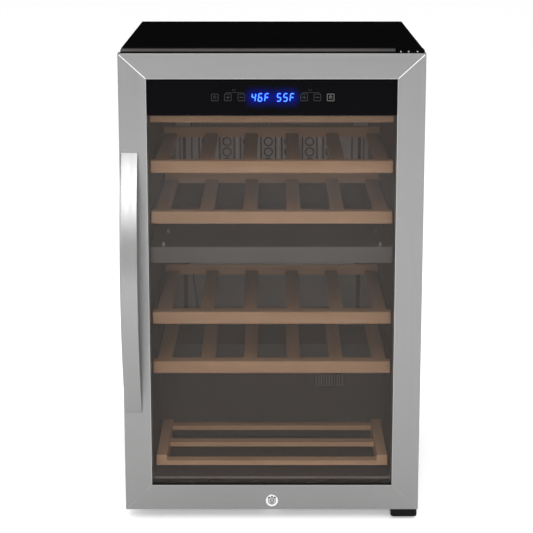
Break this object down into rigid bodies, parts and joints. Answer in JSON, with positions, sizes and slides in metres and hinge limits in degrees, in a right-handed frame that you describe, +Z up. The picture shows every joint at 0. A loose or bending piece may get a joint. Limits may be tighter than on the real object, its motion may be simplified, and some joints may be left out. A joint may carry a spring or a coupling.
{
  "type": "wine cooler",
  "caption": "Free-standing two-zone wine cooler with a tinted glass door, stainless frame, wooden slide-out shelves and a bottom rack.",
  "frame": {"origin": "on the floor, under the middle of the whole cooler", "axes": "+Z up; the door faces -Y; +X is to the right of someone facing the door"},
  "size_m": [0.5, 0.593, 0.804],
  "materials": {
    "black_steel": "gloss",
    "galvanised_steel": "satin",
    "liner_plastic": "satin",
    "foam": "matte",
    "black_plastic": "satin",
    "compressor_paint": "satin",
    "rubber_black": "matte",
    "gasket_rubber": "matte",
    "condenser_steel": "satin",
    "aluminium": "satin",
    "divider_trim_grey": "satin",
    "dark_rail_steel": "satin",
    "light_diffuser": "satin",
    "plated_steel": "polished",
    "stainless": "satin",
    "tinted_glass": "polished",
    "clear_glass": "polished",
    "circuit_board": "satin",
    "beech": "matte"
  },
  "bodies": {
    "cabinet": {"cabinet_shell": "black_steel", "inner_liner": "liner_plastic", "insulation_foam": "foam", "rear_panel": "black_steel", "base_tray": "galvanised_steel", "compressor_cover": "galvanised_steel", "power_inlet": "black_plastic", "compressor": "compressor_paint", "compressor_mounts": "rubber_black", "condenser_coil": "condenser_steel", "zone_divider": "liner_plastic", "divider_trim": "divider_trim_grey", "air_covers": "liner_plastic", "evaporator_coils": "aluminium", "fan_frames": "black_plastic", "slide_rails": "dark_rail_steel", "light_bars": "light_diffuser", "vent_grille": "black_plastic", "upper_hinge_bracket": "plated_steel", "lower_hinge_bracket": "black_plastic", "hinge_screws": "plated_steel", "lock_keeper": "plated_steel"},
    "door": {"door_rails": "stainless", "door_stiles": "stainless", "door_inner_frame": "black_plastic", "glass_outer": "tinted_glass", "glass_inner": "clear_glass", "glass_spacer": "aluminium", "door_gasket": "gasket_rubber", "control_housing": "black_plastic", "display_board": "circuit_board", "handle": "stainless", "handle_screws": "plated_steel", "lock_housing": "plated_steel", "hinge_bushes": "black_plastic"},
    "lock": {"lock_barrel": "plated_steel", "lock_cam": "plated_steel"},
    "upper_fan": {"upper_fan_rotor": "black_plastic"},
    "lower_fan": {"lower_fan_rotor": "black_plastic"},
    "shelf_1": {"shelf_1_bars": "beech", "shelf_1_slats": "beech", "shelf_1_runners": "dark_rail_steel"},
    "shelf_2": {"shelf_2_bars": "beech", "shelf_2_slats": "beech", "shelf_2_runners": "dark_rail_steel"},
    "shelf_3": {"shelf_3_bars": "beech", "shelf_3_slats": "beech", "shelf_3_runners": "dark_rail_steel"},
    "shelf_4": {"shelf_4_bars": "beech", "shelf_4_slats": "beech", "shelf_4_runners": "dark_rail_steel"},
    "shelf_5": {"shelf_5_bars": "beech", "shelf_5_slats": "beech", "shelf_5_runners": "dark_rail_steel"},
    "bottom_rack": {"rack_sides": "beech", "rack_bars": "beech"},
    "foot_front_left": {"foot_front_left": "black_plastic"},
    "foot_front_right": {"foot_front_right": "black_plastic"},
    "foot_rear_left": {"foot_rear_left": "black_plastic"},
    "foot_rear_right": {"foot_rear_right": "black_plastic"}
  },
  "joints": [
    {"name": "door_hinge", "type": "hinge", "parent": "cabinet", "child": "door", "pos_m": [0.238, -0.2185, 0.4105], "axis": [0, 0, 1], "range_deg": [0, 110]},
    {"name": "lock_turn", "type": "hinge", "parent": "door", "child": "lock", "pos_m": [0, -0.2405, 0.0363], "axis": [0, -1, 0], "range_deg": [0, 90]},
    {"name": "upper_fan_spin", "type": "hinge", "parent": "cabinet", "child": "upper_fan", "pos_m": [0, 0.1835, 0.69], "axis": [0, -1, 0], "continuous": true},
    {"name": "lower_fan_spin", "type": "hinge", "parent": "cabinet", "child": "lower_fan", "pos_m": [0, 0.1835, 0.385], "axis": [0, -1, 0], "continuous": true},
    {"name": "shelf_1_slide", "type": "slide", "parent": "cabinet", "child": "shelf_1", "axis": [0, -1, 0], "range_m": [0, 0.018]},
    {"name": "shelf_2_slide", "type": "slide", "parent": "cabinet", "child": "shelf_2", "axis": [0, -1, 0], "range_m": [0, 0.018]},
    {"name": "shelf_3_slide", "type": "slide", "parent": "cabinet", "child": "shelf_3", "axis": [0, -1, 0], "range_m": [0, 0.018]},
    {"name": "shelf_4_slide", "type": "slide", "parent": "cabinet", "child": "shelf_4", "axis": [0, -1, 0], "range_m": [0, 0.018]},
    {"name": "shelf_5_slide", "type": "slide", "parent": "cabinet", "child": "shelf_5", "axis": [0, -1, 0], "range_m": [0, 0.018]},
    {"name": "rack_lift", "type": "slide", "parent": "cabinet", "child": "bottom_rack", "axis": [0, 0, 1], "range_m": [0, 0.12]},
    {"name": "foot_front_left_turn", "type": "hinge", "parent": "cabinet", "child": "foot_front_left", "pos_m": [-0.215, -0.1485, 0], "axis": [0, 0, 1], "continuous": true},
    {"name": "foot_front_right_turn", "type": "hinge", "parent": "cabinet", "child": "foot_front_right", "pos_m": [0.215, -0.1485, 0], "axis": [0, 0, 1], "continuous": true},
    {"name": "foot_rear_left_turn", "type": "hinge", "parent": "cabinet", "child": "foot_rear_left", "pos_m": [-0.215, 0.2645, 0], "axis": [0, 0, 1], "continuous": true},
    {"name": "foot_rear_right_turn", "type": "hinge", "parent": "cabinet", "child": "foot_rear_right", "pos_m": [0.215, 0.2645, 0], "axis": [0, 0, 1], "continuous": true}
  ]
}
